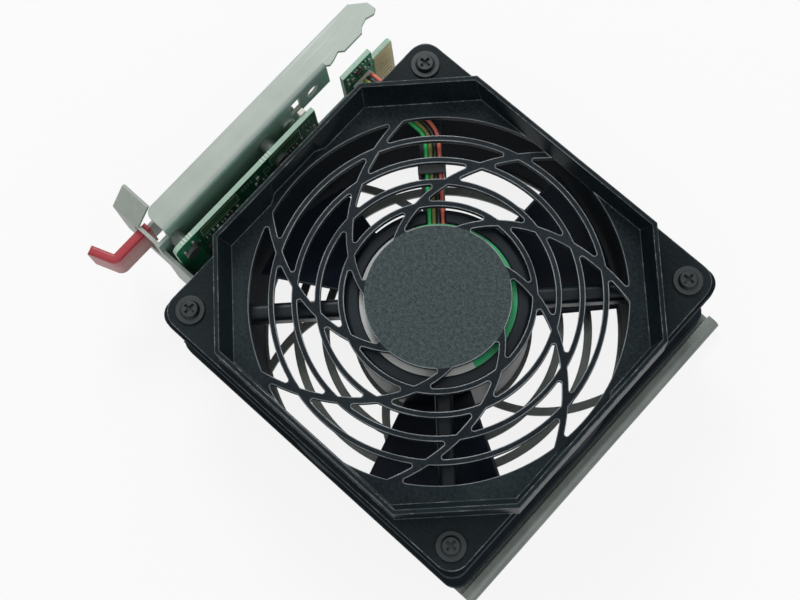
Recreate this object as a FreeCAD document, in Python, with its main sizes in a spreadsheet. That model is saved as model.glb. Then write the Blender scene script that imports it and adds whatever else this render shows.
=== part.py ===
import FreeCAD, Part
import math
import os
import re
import Sketcher

# Hot-plug server fan module. Millimetres, +Z along the fan's axis towards the finger guard (exhaust),
# +Y the way the module slides into its bay, z = 0 on the outer face of the tray's base plate.

doc = FreeCAD.newDocument("ServerFanModule")

# ---------------------------------------------------------------- driving dimensions
SIZES = [
    # sheet steel tray
    ("sheet_gauge", 1.2), ("tray_margin", 1.0), ("hem_gap", 1.4), ("hem_width", 4.2),
    ("hem_rise", 4.8), ("board_bay", 15.6), ("rail_width", 9.2), ("rail_corner", 3.0),
    ("front_line", 44.4), ("bay_back", 19.5), ("ear_back", 32.0), ("ear_depth", 12.2),
    ("rail_start", 40.0), ("wing_out", 20.3), ("wing_drop", 5.7), ("wing_below", 14.05),
    ("wing_width", 10.8), ("wing_rise", 5.9), ("rail_hole_radius", 2.4), ("bend_radius", 1.8),
    ("foot_gap", 2.5), ("bolt_clearance", 0.05), ("hem_round_rest", 0.01),
    ("tray_disc_radius", 29.0), ("tray_ring_one_share", 0.32), ("tray_ring_two_share", 0.651),
    ("tray_ring_width", 2.6), ("tray_opening_inset", 0.9), ("tray_spoke_width", 2.6),
    ("tray_spokes", 5), ("tray_spoke_angle", 10.7), ("tray_spoke_slope", 0.86),
    # fan frame
    ("fan_size", 120.0), ("fan_depth", 38.0), ("flange_gauge", 4.5), ("barrel_wall", 2.0),
    ("bore_radius", 57.4), ("hole_pitch", 105.0), ("hole_radius", 2.25), ("frame_corner", 5.0),
    ("strut_width", 5.5), ("lead_strut_width", 7.0), ("strut_height", 5.6), ("strut_drop", 2.9),
    ("strut_shift", 0.2), ("strut_round", 2.0),
    ("base_overhang", 0.5), ("base_gauge", 3.8), ("base_drop", 1.4), ("rim_rise", 0.8),
    ("rim_width", 4.3), ("rim_round", 1.6), ("label_clearance", 0.4), ("label_gauge", 0.3),
    # rotor and motor
    ("blade_count", 3), ("tip_gap", 1.1), ("hub_radius", 28.0), ("hub_wall", 2.0),
    ("hub_end", 2.2), ("rotor_clear", 3.0), ("blade_lift", 1.0), ("blade_clear", 1.9), ("blade_spread", 0.42),
    ("blade_thickness", 2.2), ("blade_camber", 3.4), ("yoke_wall", 1.1), ("magnet_wall", 2.3),
    ("air_gap", 0.5), ("shaft_radius", 2.45), ("bearing_clearance", 0.05), ("bearing_radius", 6.5),
    ("bearing_width", 4.0), ("tube_wall", 1.5), ("core_lift", 7.6), ("core_headroom", 8.0), ("core_wall", 3.0),
    ("pole_width", 5.0), ("pole_shoe", 2.6), ("slot_gap", 3.0), ("coil_wall", 2.8), ("coil_gap", 0.2),
    ("coil_foot", 1.2), ("coil_end", 0.9), ("board_gauge", 1.4), ("board_inset", 2.0),
    # finger guard
    ("guard_margin", 0.75), ("ear_gauge", 3.0), ("panel_gauge", 2.2), ("guard_corner", 6.0),
    ("collar_half_x", 60.6), ("collar_half_y", 57.5), ("collar_cut", 92.8), ("collar_rise", 9.5),
    ("collar_lip", 1.4), ("guard_disc_radius", 22.2), ("first_ring", 29.0), ("ring_margin", 0.4),
    ("ring_width", 1.7), ("guard_opening_inset", 0.6), ("spoke_width", 2.0), ("spoke_count", 7),
    ("spoke_start", 216.6), ("spoke_sweep", 72.3), ("grille_round", 0.7), ("collar_draft_x", 3.3),
    ("collar_draft_y", 2.2), ("collar_draft_corner", 5.8), ("relief_wall", 1.6), ("relief_half", 9.0),
    ("relief_slope", 3.5),
    # screws
    ("screw_radius", 2.0), ("washer_radius", 4.6), ("washer_gauge", 0.8), ("head_radius", 3.1),
    ("head_rise", 1.3), ("cross_length", 3.6), ("cross_width", 0.9), ("cross_depth", 1.1),
    # control board
    ("board_gap", 8.4), ("pcb_gauge", 1.6), ("pcb_below", 0.2), ("pcb_foot", 3.0), ("pcb_corner", 2.0),
    ("pcb_front", 42.8), ("pcb_step_one", 18.9), ("pcb_step_two", 32.0), ("valley_depth", 16.0),
    ("pcb_back", 44.7), ("tongue_end", 53.5), ("tongue_drop", 6.0), ("tongue_height", 24.0),
    ("tongue_chamfer", 0.8), ("seat_low", 5.0), ("seat_high", 8.0),
    ("contact_pitch", 2.54), ("contact_count", 8), ("contact_length", 7.4), ("contact_width", 1.6),
    ("contact_gauge", 0.15), ("standoff_radius", 2.5), ("header_depth", 5.8), ("header_length", 8.4),
    ("header_height", 5.0), ("plug_height", 4.0), ("board_screw_radius", 1.5), ("board_screw_head", 2.6),
    ("board_screw_rise", 1.5), ("board_screw_end", 0.5), ("board_screw_play", 0.1),
    # leads
    ("lead_radius", 0.65), ("lead_pitch", 1.4), ("lead_clearance", 0.05), ("lead_row", 38.0),
    ("lead_fall", 4.0), ("lead_inset", 1.2), ("channel_run", 8.0), ("lead_bend", 9.0), ("lead_exit_bend", 1.4),
    ("lead_drop_bend", 2.6), ("clip_row", 40.0), ("clip_width", 4.5), ("clip_gauge", 1.0),
    ("clip_leg", 4.8), ("clip_grip", 0.8), ("clip_leg_gauge", 0.7),
    # latch
    ("strip_gauge", 1.0), ("strip_height", 10.4), ("strip_drop", 14.15), ("strip_gap", 0.3),
    ("pivot_row", 12.0), ("strip_stand", 8.6), ("sleeve_wall", 1.05), ("sleeve_round", 0.9),
    ("handle_end", 57.6), ("strip_lip", 7.2), ("sleeve_lip", 8.8), ("window_clearance", 1.0),
    ("rivet_radius", 1.5), ("rivet_head", 2.5), ("rivet_spread", 3.0), ("rivet_rise", 0.9),
]

sheet = doc.addObject("Spreadsheet::Sheet", "Sizes")
for row, (alias, value) in enumerate(SIZES, start=1):
    sheet.set("A%d" % row, alias)
    sheet.set("B%d" % row, str(value))
    sheet.setAlias("B%d" % row, alias)
doc.recompute()
ALIASES = {alias for alias, value in SIZES}

# places that follow from the sizes and are shared by pieces that meet there
PLACES = {
    # across the module
    "tray_reach": "fan_size/2-tray_margin",
    "hem_inner": "fan_size/2+hem_gap",
    "hem_outer": "hem_inner+hem_width",
    "web_face": "fan_size/2+board_bay",
    "web_outer": "-(web_face+sheet_gauge)",
    "board_face": "fan_size/2+board_gap",
    "wing_reach": "web_face+wing_out",
    "guard_size": "fan_size-2*guard_margin",
    # up the module
    "fan_top": "sheet_gauge+fan_depth",
    "guard_top": "fan_top+ear_gauge",
    "wing_top": "guard_top-wing_drop",
    "wing_bottom": "strip_middle-wing_below",
    "strip_middle": "guard_top-strip_drop",
    "base_under": "fan_top-base_drop-base_gauge",
    # round the fan
    "barrel_radius": "bore_radius+barrel_wall",
    "tip_radius": "bore_radius-tip_gap",
    "guard_opening_radius": "bore_radius-guard_opening_inset",
    "ring_step": "(bore_radius-ring_margin-first_ring)/4",
    "tray_opening_radius": "bore_radius-tray_opening_inset",
    "base_radius": "hub_radius+base_overhang",
    "label_radius": "base_radius-rim_width-label_clearance",
    # rotor and motor
    "rotor_foot": "sheet_gauge+rotor_clear",
    "hub_top": "base_under-0.6",
    "yoke_floor": "rotor_foot+hub_end",
    "yoke_radius": "hub_radius-hub_wall",
    "magnet_outer": "yoke_radius-yoke_wall",
    "blade_foot": "rotor_foot+blade_lift",
    "blade_height": "fan_top-strut_drop-strut_height-blade_foot-blade_clear",
    "bearing_bore": "shaft_radius+bearing_clearance",
    "core_base": "yoke_floor+core_lift",
    "core_height": "base_under-core_headroom-core_base",
    "core_outer": "magnet_outer-magnet_wall-air_gap",
    "shoe_inner": "core_outer-pole_shoe",
    "tube_outer": "bearing_radius+tube_wall",
    "tube_foot": "core_base-1.5",
    # board and leads
    "pcb_top": "guard_top-pcb_below",
    "pcb_valley": "pcb_top-valley_depth",
    "tongue_top": "pcb_top-tongue_drop",
    "tongue_bottom": "tongue_top-tongue_height",
    "lead_level": "fan_top-strut_drop+lead_radius+lead_clearance",
    "lead_exit": "label_radius-lead_inset",
    "header_top": "lead_level-lead_fall",
    "header_middle": "lead_row+lead_pitch/2",
    # latch
    "strip_out": "web_face+strip_stand",
    "strip_x": "-(web_face+sheet_gauge+strip_gap+strip_gauge/2)",
}


def cells(text):
    """A formula with every place written out and every alias turned into a reference to its cell."""
    def spell(found):
        word = found.group()
        if word in PLACES:
            return "(" + cells(PLACES[word]) + ")"
        return "Sizes." + word if word in ALIASES else word

    return re.sub(r"[a-z][a-z_0-9]*", spell, text)


gauge = doc.addObject("App::FeaturePython", "Gauge")
gauge.addProperty("App::PropertyFloat", "Reading")


def mm(formula):
    """The value of a size, a place or a formula of them."""
    gauge.setExpression("Reading", cells(formula))
    gauge.recompute()
    return gauge.Reading


def bind(thing, **formulas):
    """Bind properties to formulas; a double underscore in a name stands for a dot."""
    for name, formula in formulas.items():
        thing.setExpression(name.replace("__", "."), cells(formula))


# ---------------------------------------------------------------- sketches and features
def new_body(label):
    body = doc.addObject("PartDesign::Body", label)
    body.Label = label
    return body


def new_sketch(body, name, plane="XY_Plane", lift="0", turn="0"):
    """A sketch on one of the body's own origin planes, lifted along its normal and turned in it."""
    sketch = body.newObject("Sketcher::SketchObject", name)
    support = next(item for item in body.Origin.OriginFeatures if item.Role == plane)
    sketch.AttachmentSupport = [(support, "")]
    sketch.MapMode = "FlatFace"
    bind(sketch, AttachmentOffset__Base__z=lift, AttachmentOffset__Rotation__Angle=turn)
    return sketch


def pin_point(sketch, geometry, vertex, across, up):
    """Tie one point of a sketch to the sheet by its distances from the origin."""
    spot = sketch.getPoint(geometry, vertex)
    for kind, formula, now in (("DistanceX", across, spot.x), ("DistanceY", up, spot.y)):
        index = sketch.addConstraint(Sketcher.Constraint(kind, -1, 1, geometry, vertex, now))
        sketch.setExpression("Constraints[%d]" % index, cells(formula))


def outline(sketch, corners):
    """A closed polygon whose corners are pairs of formulas."""
    count = len(corners)
    start = [FreeCAD.Vector(10 * math.cos(math.tau * i / count), 10 * math.sin(math.tau * i / count), 0)
             for i in range(count)]
    first = sketch.GeometryCount
    for i in range(count):
        sketch.addGeometry(Part.LineSegment(start[i], start[(i + 1) % count]))
    for i in range(count):
        sketch.addConstraint(Sketcher.Constraint("Coincident", first + i, 2, first + (i + 1) % count, 1))
    for i, (across, up) in enumerate(corners):
        pin_point(sketch, first + i, 1, across, up)


def rectangle(sketch, left, bottom, right, top):
    outline(sketch, [(left, bottom), (right, bottom), (right, top), (left, top)])


def disc(sketch, across, up, radius):
    index = sketch.addGeometry(Part.Circle(FreeCAD.Vector(1, 1, 0), FreeCAD.Vector(0, 0, 1), 5))
    pin_point(sketch, index, 3, across, up)
    limit = sketch.addConstraint(Sketcher.Constraint("Radius", index, 5))
    sketch.setExpression("Constraints[%d]" % limit, cells(radius))


def pad(body, sketch, length, backward=False):
    feature = body.newObject("PartDesign::Pad", sketch.Name + "_pad")
    feature.Profile = sketch
    feature.Reversed = backward
    bind(feature, Length=length)
    body.Tip = feature
    return feature


def pocket(body, sketch, length, backward=False):
    """Cut a sketch out of the body; the volume has to fall."""
    doc.recompute()
    before = body.Shape.Volume
    feature = body.newObject("PartDesign::Pocket", sketch.Name + "_cut")
    feature.Profile = sketch
    feature.Reversed = backward
    bind(feature, Length=length)
    body.Tip = feature
    doc.recompute()
    if body.Shape.Volume >= before:
        raise RuntimeError(sketch.Name + " cuts nothing")
    return feature


def polar(body, feature, count):
    """Repeat a feature round the body's Z axis."""
    pattern = body.newObject("PartDesign::PolarPattern", feature.Name + "_round")
    axis = next(item for item in body.Origin.OriginFeatures if item.Role == "Z_Axis")
    pattern.Originals = [feature]
    pattern.Axis = (axis, [""])
    pattern.Angle = 360
    bind(pattern, Occurrences=count)
    body.Tip = pattern
    return pattern


def turned(body, name, corners):
    """Revolve a profile, given as (radius, height) formulas, round the Z axis."""
    profile = new_sketch(body, name, "XZ_Plane")
    outline(profile, corners)
    feature = body.newObject("PartDesign::Revolution", name + "_turn")
    feature.Profile = profile
    feature.ReferenceAxis = (profile, ["V_Axis"])
    feature.Angle = 360
    body.Tip = feature
    return feature


def round_edges(body, radius, wanted):
    """Fillet the edges that a test picks out."""
    doc.recompute()
    base = body.Tip
    names = ["Edge%d" % (i + 1) for i, edge in enumerate(base.Shape.Edges) if wanted(edge)]
    feature = body.newObject("PartDesign::Fillet", base.Name + "_round")
    feature.Base = (base, names)
    bind(feature, Radius=radius)
    body.Tip = feature
    return feature


def near(value, target):
    return abs(value - target) < 0.01


def upright(edge):
    """True for a straight edge along Z."""
    ends = [vertex.Point for vertex in edge.Vertexes]
    return len(ends) == 2 and near(ends[0].x, ends[1].x) and near(ends[0].y, ends[1].y)


def lengthwise(edge, across, height):
    """True for a straight edge along Y at the given x and z."""
    ends = [vertex.Point for vertex in edge.Vertexes]
    return len(ends) == 2 and all(near(p.x, across) and near(p.z, height) for p in ends)


def block(name, low, high):
    """A Part box between two corners given as formulas."""
    box = doc.addObject("Part::Box", name)
    bind(box, Length="(%s)-(%s)" % (high[0], low[0]), Width="(%s)-(%s)" % (high[1], low[1]),
         Height="(%s)-(%s)" % (high[2], low[2]), Placement__Base__x=low[0],
         Placement__Base__y=low[1], Placement__Base__z=low[2])
    return box


def rod(name, foot, radius, length, axis=FreeCAD.Vector(0, 0, 1)):
    """A Part cylinder from a foot point given as formulas, along an axis."""
    cylinder = doc.addObject("Part::Cylinder", name)
    cylinder.Placement.Rotation = FreeCAD.Rotation(FreeCAD.Vector(0, 0, 1), axis)
    bind(cylinder, Radius=radius, Height=length, Placement__Base__x=foot[0],
         Placement__Base__y=foot[1], Placement__Base__z=foot[2])
    return cylinder


def cut(name, base, tool):
    result = doc.addObject("Part::Cut", name)
    result.Base = base
    result.Tool = tool
    result.Label = name
    return result


def fuse(name, shapes):
    result = doc.addObject("Part::MultiFuse", name)
    result.Shapes = shapes
    result.Label = name
    return result


def group(name, members):
    """Identical pieces that share one node and stay separate solids."""
    result = doc.addObject("Part::Compound", name)
    result.Links = members
    result.Label = name
    return result


# ---------------------------------------------------------------- grille openings
def spiral_angle(radius, inner, outer, start, sweep):
    """Angle in radians of a spiral rib that crosses every ring at the same slant."""
    return math.radians(start - sweep * math.log(radius / inner) / math.log(outer / inner))


def rounded_corner(one, other, inside, corner, radius):
    """Where an arc tangent to two circles meets the first, its crown, and where it meets the second."""
    reach = []
    for centre, size in (one, other):
        outward = 1 if inside.distanceToPoint(centre) > size else -1
        reach.append(size + outward * radius)
    line = other[0] - one[0]
    span = line.Length
    along = (reach[0] ** 2 - reach[1] ** 2 + span ** 2) / (2 * span)
    aside = math.sqrt(reach[0] ** 2 - along ** 2)
    line.normalize()
    across = FreeCAD.Vector(-line.y, line.x, 0)
    middles = [one[0] + line * along + across * (sign * aside) for sign in (1, -1)]
    middle = min(middles, key=lambda point: point.distanceToPoint(corner))
    touches = [centre + (middle - centre).normalize() * size for centre, size in (one, other)]
    crown = middle + (corner - middle).normalize() * radius
    return touches[0], crown, touches[1]


def opening_edges(low, high, rib, width, count, corner):
    """One opening between two neighbouring spiral ribs and two rings, its corners rounded or sharp."""
    step = math.tau / count

    def side(radius, shift, offset):
        angle = rib(radius) + shift + offset / radius
        return FreeCAD.Vector(radius * math.cos(angle), radius * math.sin(angle), 0)

    slope = (rib(high) - rib(low)) * (low + high) / 2 / (high - low)
    half = width / 2 * math.sqrt(1 + slope * slope)
    middle = (low + high) / 2
    right = [side(r, 0, half) for r in (low, middle, high)]
    left = [side(r, step, -half) for r in (low, middle, high)]
    origin = FreeCAD.Vector(0, 0, 0)
    ribs = [Part.Arc(*points).toShape().Curve for points in (right, left)]
    sides = [(ribs[0].Center, ribs[0].Radius), (origin, high), (ribs[1].Center, ribs[1].Radius), (origin, low)]
    meetings = [right[2], left[2], left[0], right[0]]
    inside = side(middle, step / 2, 0)
    corners = [(meeting, meeting, meeting) for meeting in meetings]
    if corner:
        corners = [rounded_corner(sides[i], sides[(i + 1) % 4], inside, meetings[i], corner) for i in range(4)]
    edges = []
    for number, (centre, size) in enumerate(sides):
        start, end = corners[number - 1][2], corners[number][0]
        crown = centre + ((start - centre) + (end - centre)).normalize() * size
        edges.append(Part.Arc(start, crown, end))
        if corner:
            edges.append(Part.Arc(*corners[number]))
    return edges


def open_grille(body, name, lift, depth, rings, rib, width, count, corner=0.0):
    """Cut one sector's openings and repeat them round the axis."""
    sketch = new_sketch(body, name, "XY_Plane", lift)
    for low, high in rings:
        for edge in opening_edges(low, high, rib, width, mm(count), corner):
            sketch.addGeometry(edge)
    return polar(body, pocket(body, sketch, depth), count)


# ---------------------------------------------------------------- bolt corners
CORNERS = (("-", "-"), ("-", ""), ("", "-"), ("", ""))


# ---------------------------------------------------------------- sheet steel tray
def tray():
    """Stamped base plate: slide hem along one side, ledge for the side bracket, grille under the fan."""
    body = new_body("tray")
    base = new_sketch(body, "tray_base")
    outline(base, [
        ("hem_outer-hem_rise/2", "-tray_reach"), ("hem_outer-hem_rise/2", "tray_reach"),
        ("-fan_size/2", "tray_reach"), ("-fan_size/2", "bay_back"), ("web_outer", "bay_back"),
        ("web_outer", "-front_line"), ("-fan_size/2", "-front_line"), ("-fan_size/2", "-tray_reach")])
    pad(body, base, "sheet_gauge")

    hem = new_sketch(body, "tray_hem", "XZ_Plane", "-tray_reach")
    rectangle(hem, "hem_inner", "0", "hem_outer", "hem_rise")
    pad(body, hem, "2*tray_reach")
    hollow = new_sketch(body, "tray_hem_hollow", "XZ_Plane", "-tray_reach")
    rectangle(hollow, "hem_inner", "sheet_gauge", "hem_outer-sheet_gauge", "hem_rise-sheet_gauge")
    pocket(body, hollow, "2*tray_reach", backward=True)
    round_edges(body, "hem_rise/2-hem_round_rest", lambda e: any(
        lengthwise(e, mm("hem_outer"), z) for z in (0, mm("hem_rise"))))
    round_edges(body, "hem_rise/2-sheet_gauge-hem_round_rest", lambda e: any(
        lengthwise(e, mm("hem_outer") - mm("sheet_gauge"), z)
        for z in (mm("sheet_gauge"), mm("hem_rise") - mm("sheet_gauge"))))

    bolts = new_sketch(body, "tray_bolt_holes", "XY_Plane", "sheet_gauge")
    for across, up in CORNERS:
        disc(bolts, across + "hole_pitch/2", up + "hole_pitch/2", "screw_radius+bolt_clearance")
    pocket(body, bolts, "sheet_gauge")

    half = mm("tray_ring_width") / 2
    low, high = mm("tray_disc_radius"), mm("tray_opening_radius")
    ring_one = low + mm("tray_ring_one_share") * (high - low)
    ring_two = low + mm("tray_ring_two_share") * (high - low)
    rings = ((low, ring_one - half), (ring_one + half, ring_two - half), (ring_two + half, high))

    def tray_rib(radius):
        """Angle of a stamped spoke, which gains a millimetre of radius every 1.2 degrees."""
        turn = (radius - 50.0) / mm("tray_spoke_slope")
        return math.radians(mm("tray_spoke_angle") + turn)

    open_grille(body, "tray_openings", "sheet_gauge", "sheet_gauge", rings,
                tray_rib, mm("tray_spoke_width"), "tray_spokes")
    return body


def side_bracket():
    """Folded bracket welded on the ledge: foot, web, slide rail with its nose, front wall and wing."""
    body = new_body("side_bracket")
    web = new_sketch(body, "bracket_web", "YZ_Plane", "web_outer")
    outline(web, [
        ("-front_line", "sheet_gauge"), ("bay_back", "sheet_gauge"),
        ("bay_back", "guard_top-ear_depth"), ("ear_back", "guard_top-ear_depth"),
        ("ear_back", "guard_top"), ("-rail_start", "guard_top"),
        ("-rail_start", "wing_top"), ("-front_line", "wing_top")])
    pad(body, web, "sheet_gauge")
    foot = new_sketch(body, "bracket_foot", "XY_Plane", "sheet_gauge")
    rectangle(foot, "-web_face-sheet_gauge/2", "-front_line", "-fan_size/2-foot_gap", "bay_back-1")
    pad(body, foot, "sheet_gauge")

    rail = new_sketch(body, "bracket_rail", "XY_Plane", "guard_top-sheet_gauge")
    rectangle(rail, "-web_face-rail_width", "-rail_start", "-web_face", "ear_back")
    pad(body, rail, "sheet_gauge")
    inner_line = -mm("web_face")
    outer_line = inner_line - mm("sheet_gauge")
    top = mm("guard_top")
    round_edges(body, "bend_radius", lambda e: lengthwise(e, inner_line, top))
    round_edges(body, "bend_radius-sheet_gauge",
                lambda e: lengthwise(e, outer_line, top - mm("sheet_gauge")))
    free_edge = inner_line - mm("rail_width")
    round_edges(body, "rail_corner", lambda e: upright(e) and near(e.Vertexes[0].X, free_edge)
                and near(e.Vertexes[0].Y, -mm("rail_start")))
    nose = new_sketch(body, "bracket_nose", "XY_Plane", "guard_top-sheet_gauge")
    outline(nose, [
        ("-web_face-rail_width", "ear_back-1"), ("-web_face-bend_radius", "ear_back-1"),
        ("-web_face-bend_radius", "ear_back"), ("-web_face-0.3", "ear_back"),
        ("-web_face+0.6", "ear_back+1"), ("-web_face+0.3", "ear_back+3"),
        ("-web_face-0.6", "ear_back+6"), ("-web_face+0.8", "ear_back+7.5"),
        ("-web_face+0.8", "ear_back+15.5"), ("-web_face-0.8", "ear_back+17.2"),
        ("-web_face-1.6", "ear_back+19.8"), ("-web_face-0.7", "ear_back+22.8"),
        ("-web_face-1.6", "ear_back+24.4"), ("-web_face-4.9", "ear_back+24.2"),
        ("-web_face-rail_width", "ear_back+19.5")])
    pad(body, nose, "sheet_gauge")

    wall = new_sketch(body, "bracket_wall", "XZ_Plane", "front_line-sheet_gauge")
    outline(wall, [
        ("-wing_reach", "wing_bottom"), ("-web_face-sheet_gauge/2", "wing_bottom"),
        ("-web_face-sheet_gauge/2", "sheet_gauge"), ("-fan_size/2-1", "sheet_gauge"),
        ("-fan_size/2-1", "wing_top-6"), ("-web_face", "wing_top-6"),
        ("-web_face", "wing_top"), ("-wing_reach", "wing_top")])
    pad(body, wall, "sheet_gauge")
    wing = new_sketch(body, "bracket_wing", "YZ_Plane", "-wing_reach")
    outline(wing, [
        ("-front_line", "wing_top-1"), ("-front_line+sheet_gauge", "wing_top-1"),
        ("-front_line+sheet_gauge", "wing_top-0.5"),
        ("-front_line+sheet_gauge+wing_rise", "wing_top-0.5+wing_rise"),
        ("-front_line+sheet_gauge+wing_rise-0.85", "wing_top+0.35+wing_rise"),
        ("-front_line", "wing_top")])
    pad(body, wing, "wing_width")
    window = new_sketch(body, "bracket_window", "XZ_Plane", "front_line-sheet_gauge-1")
    rectangle(window, "-strip_out-2.8", "strip_middle-strip_height/2-sleeve_wall-window_clearance",
              "-web_face-3", "strip_middle+strip_height/2+sleeve_wall+window_clearance")
    pocket(body, window, "sheet_gauge+2", backward=True)

    holes = new_sketch(body, "bracket_web_holes", "YZ_Plane", "-web_face-2*sheet_gauge")
    disc(holes, "(bay_back+ear_back)/2-1.1", "guard_top-7.2", "rail_hole_radius")
    rectangle(holes, "bay_back-4.6", "guard_top-9.2", "bay_back-0.4", "guard_top-2.4")
    for sign in ("-", "+"):
        disc(holes, "pivot_row", "strip_middle%srivet_spread" % sign, "rivet_radius")
    pocket(body, holes, "3*sheet_gauge", backward=True)
    return body


# ---------------------------------------------------------------- fan frame


def fan_housing():
    """Moulded frame: two square flanges, barrel, four struts and the motor base with its rim."""
    body = new_body("fan_housing")
    rear = new_sketch(body, "frame_rear", "XY_Plane", "sheet_gauge")
    rectangle(rear, "-fan_size/2", "-fan_size/2", "fan_size/2", "fan_size/2")
    pad(body, rear, "flange_gauge")
    barrel = new_sketch(body, "frame_barrel", "XY_Plane", "sheet_gauge")
    disc(barrel, "0", "0", "barrel_radius")
    pad(body, barrel, "fan_depth-flange_gauge/2")
    front = new_sketch(body, "frame_front", "XY_Plane", "fan_top")
    rectangle(front, "-fan_size/2", "-fan_size/2", "fan_size/2", "fan_size/2")
    pad(body, front, "flange_gauge", backward=True)
    corner = mm("fan_size") / 2
    round_edges(body, "frame_corner", lambda e: upright(e) and near(abs(e.Vertexes[0].X), corner)
                and near(abs(e.Vertexes[0].Y), corner))
    bore = new_sketch(body, "frame_bore", "XY_Plane", "fan_top")
    disc(bore, "0", "0", "bore_radius")
    for across, up in CORNERS:
        disc(bore, across + "hole_pitch/2", up + "hole_pitch/2", "hole_radius")
    pocket(body, bore, "fan_depth")

    for turn, width, shift in ((45, "strut_width", "0"), (135, "lead_strut_width", "-strut_shift"),
                               (225, "strut_width", "0"), (315, "strut_width", "0")):
        for name, inner, outer, height in (
                ("strut", "base_radius+0.6", "bore_radius+0.8", "strut_height"),
                ("arm", "base_radius-6", "base_radius+1.6", "base_gauge+base_drop-strut_drop")):
            run = new_sketch(body, "%s_%d" % (name, turn), "XY_Plane", "fan_top-strut_drop", str(turn))
            rectangle(run, inner, "%s-%s/2" % (shift, width), outer, "%s+%s/2" % (shift, width))
            pad(body, run, height, backward=True)
    strut_top = mm("fan_top-strut_drop")
    half_width = mm("strut_width/2")

    def strut_edge(edge):
        """True for a long top edge of one of the three plain struts."""
        ends = [vertex.Point for vertex in edge.Vertexes]
        if len(ends) != 2 or edge.Length < half_width * 3 or not all(near(p.z, strut_top) for p in ends):
            return False
        off_line = [min(abs(p.x - p.y), abs(p.x + p.y)) / math.sqrt(2) for p in ends]
        return all(near(gap, half_width) for gap in off_line)

    round_edges(body, "strut_round", strut_edge)
    floor = "fan_top-base_drop"
    turned(body, "motor_base", [
        ("0", floor + "-base_gauge"), ("base_radius", floor + "-base_gauge"),
        ("base_radius", floor + "+rim_rise"), ("base_radius-rim_width", floor + "+rim_rise"),
        ("base_radius-rim_width", floor), ("0", floor)])
    rim_radius = mm("base_radius")
    rim_top = mm(floor + "+rim_rise")
    round_edges(body, "rim_round", lambda e: near(e.Vertexes[0].Z, rim_top)
                and near(math.hypot(e.Vertexes[0].X, e.Vertexes[0].Y), rim_radius))

    edge_low, edge_high = "-2*lead_pitch-1", "lead_pitch+1"
    channel = new_sketch(body, "lead_channel", "XY_Plane", "fan_top", "135")
    rectangle(channel, "lead_exit-1.4", edge_low, "base_radius+1", edge_high)
    rectangle(channel, "bore_radius-channel_run", edge_low, "lead_row*1.5", "2*lead_pitch+1")
    pocket(body, channel, "strut_drop")
    drop = new_sketch(body, "lead_drop", "XY_Plane", "fan_top", "135")
    rectangle(drop, "lead_exit-1.2", edge_low, "lead_exit+1.2", edge_high)
    pocket(body, drop, "strut_drop+base_gauge")
    side = new_sketch(body, "lead_side_channel", "XY_Plane", "fan_top")
    rectangle(side, "-fan_size/2-1", "lead_row-lead_pitch-1", "-lead_row*0.95", "lead_row+2*lead_pitch+1")
    pocket(body, side, "strut_drop")
    return body


def finger_guard():
    """Guard plate with screw ears, drafted octagonal collar, rings and spiral ribs round a disc."""
    body = new_body("finger_guard")
    top = "fan_top+ear_gauge"

    def octagon(name, lift, half_x, half_y, cut_line):
        sketch = new_sketch(body, name, "XY_Plane", lift)
        short_x = "(%s)-(%s)" % (cut_line, half_y)
        short_y = "(%s)-(%s)" % (cut_line, half_x)
        corners = [(half_x, short_y), (short_x, half_y), ("-(%s)" % short_x, half_y),
                   ("-(%s)" % half_x, short_y), ("-(%s)" % half_x, "-(%s)" % short_y),
                   ("-(%s)" % short_x, "-(%s)" % half_y), (short_x, "-(%s)" % half_y),
                   (half_x, "-(%s)" % short_y)]
        outline(sketch, corners)
        return sketch

    collar = octagon("guard_collar", "fan_top", "collar_half_x", "collar_half_y", "collar_cut")
    pad(body, collar, "ear_gauge+collar_rise")
    plate = new_sketch(body, "guard_plate", "XY_Plane", "fan_top")
    rectangle(plate, "-guard_size/2", "-guard_size/2", "guard_size/2", "guard_size/2")
    pad(body, plate, "ear_gauge")
    corner = mm("guard_size") / 2
    round_edges(body, "guard_corner", lambda e: upright(e) and near(abs(e.Vertexes[0].X), corner)
                and near(abs(e.Vertexes[0].Y), corner))
    floor = octagon("guard_well_floor", top, "collar_half_x-collar_draft_x", "collar_half_y-collar_draft_y",
                    "collar_cut-collar_draft_corner")
    mouth = octagon("guard_well_mouth", top + "+collar_rise", "collar_half_x-collar_lip",
                    "collar_half_y-collar_lip", "collar_cut-1.414*collar_lip")
    well = body.newObject("PartDesign::SubtractiveLoft", "guard_well")
    well.Profile = floor
    well.Sections = [mouth]
    well.Ruled = True
    body.Tip = well
    relief = new_sketch(body, "guard_side_relief", "XY_Plane", top + "+collar_rise")
    for sign in ("-", ""):
        inner = sign + "(collar_half_x-collar_draft_x-0.2)"
        outer = sign + "(collar_half_x-relief_wall)"
        outline(relief, [(inner, "-relief_half-relief_slope"), (outer, "-relief_half"),
                         (outer, "relief_half"), (inner, "relief_half+relief_slope")])
    pocket(body, relief, "collar_rise")
    under = new_sketch(body, "guard_underside", "XY_Plane", "fan_top")
    disc(under, "0", "0", "bore_radius")
    pocket(body, under, "ear_gauge-panel_gauge", backward=True)
    bolts = new_sketch(body, "guard_bolt_holes", "XY_Plane", top)
    for across, up in CORNERS:
        disc(bolts, across + "hole_pitch/2", up + "hole_pitch/2", "hole_radius")
    pocket(body, bolts, "ear_gauge")

    half = mm("ring_width") / 2
    centres = [mm("first_ring") + i * mm("ring_step") for i in range(4)]
    lows = [mm("guard_disc_radius")] + [radius + half for radius in centres]
    highs = [radius - half for radius in centres] + [mm("guard_opening_radius")]

    def guard_rib(radius):
        return spiral_angle(radius, mm("guard_disc_radius"), mm("guard_opening_radius"),
                            mm("spoke_start"), mm("spoke_sweep"))

    open_grille(body, "guard_openings", top, "ear_gauge", list(zip(lows, highs)),
                guard_rib, mm("spoke_width"), "spoke_count", mm("grille_round"))
    return body


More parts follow.
